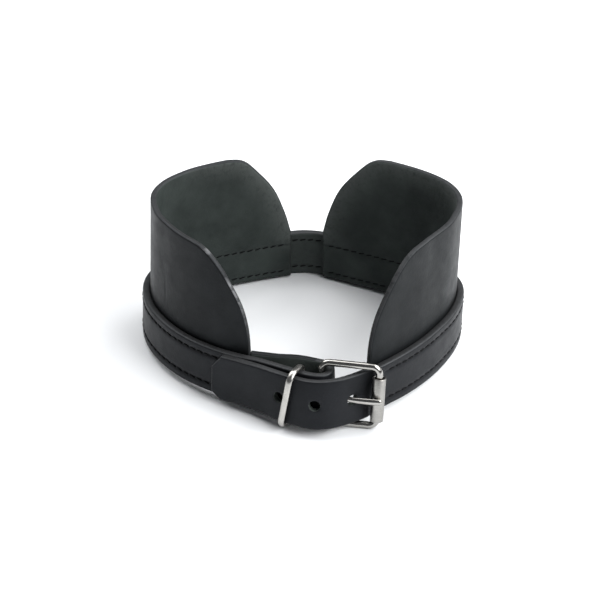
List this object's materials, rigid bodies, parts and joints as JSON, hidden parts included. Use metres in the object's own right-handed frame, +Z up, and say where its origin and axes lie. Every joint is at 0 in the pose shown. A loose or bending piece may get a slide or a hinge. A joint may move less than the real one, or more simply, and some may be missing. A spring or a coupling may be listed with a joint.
{
  "type": "leather choker with roller buckle",
  "caption": "Closed neck choker: a leather strap with two tall side panels inside it, fastened in front by a roller buckle and a wire keeper",
  "frame": {"origin": "middle of the bounding box's base, on the surface the choker stands on", "axes": "+Z up, the buckle and front of the neck face -Y, the back of the neck is toward +Y, +X is to the right of someone looking at the buckle"},
  "size_m": [0.1292, 0.1132, 0.0642],
  "materials": {
    "strap_leather": "smooth black bridle leather with a soft shine",
    "panel_leather": "smooth black leather, painted edges, matt flesh side",
    "nickel": "polished nickel plate on steel"
  },
  "bodies": {
    "root": {"strap": "strap_leather", "left_panel": "panel_leather", "right_panel": "panel_leather", "buckle_frame": "nickel", "buckle_roller": "nickel", "buckle_prong": "nickel", "keeper_ring": "nickel"}
  },
  "joints": []
}
